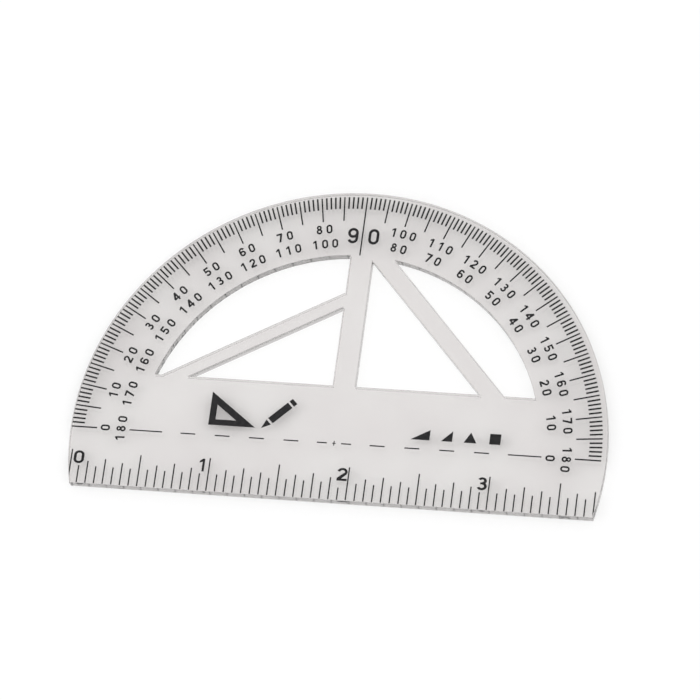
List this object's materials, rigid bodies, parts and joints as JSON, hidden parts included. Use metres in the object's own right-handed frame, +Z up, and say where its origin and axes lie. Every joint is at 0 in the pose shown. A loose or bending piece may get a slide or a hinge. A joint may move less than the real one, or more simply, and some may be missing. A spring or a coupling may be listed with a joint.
{
  "type": "protractor",
  "caption": "Clear half-round school protractor with an open braced window, a degree scale printed to be read both ways and an inch rule along its straight edge.",
  "frame": {"origin": "on the underside, directly below the vertex of the printed degree scale", "axes": "+X along the straight rule towards higher inches, +Y from the vertex to the 90-degree line, +Z up out of the printed face; the plate lies on Z = 0"},
  "size_m": [0.0975, 0.0598, 0.0018],
  "materials": {
    "clear_plastic": "clear colourless moulded polystyrene, polished on both faces, slightly grey where it is seen edge on",
    "black_ink": "opaque black printed ink, slightly satin"
  },
  "bodies": {
    "root": {"plate": "clear_plastic", "ticks_one_degree": "black_ink", "ticks_five_degree": "black_ink", "ticks_ten_degree": "black_ink", "line_ninety": "black_ink", "numerals_outer": "black_ink", "numerals_inner": "black_ink", "numerals_ninety": "black_ink", "baseline_dashes": "black_ink", "vertex_mark": "black_ink", "rule_sixteenths": "black_ink", "rule_eighths": "black_ink", "rule_quarters": "black_ink", "rule_halves": "black_ink", "rule_inches": "black_ink", "rule_numerals": "black_ink", "set_square_mark": "black_ink", "pencil_mark": "black_ink", "angle_marks": "black_ink"}
  },
  "joints": []
}
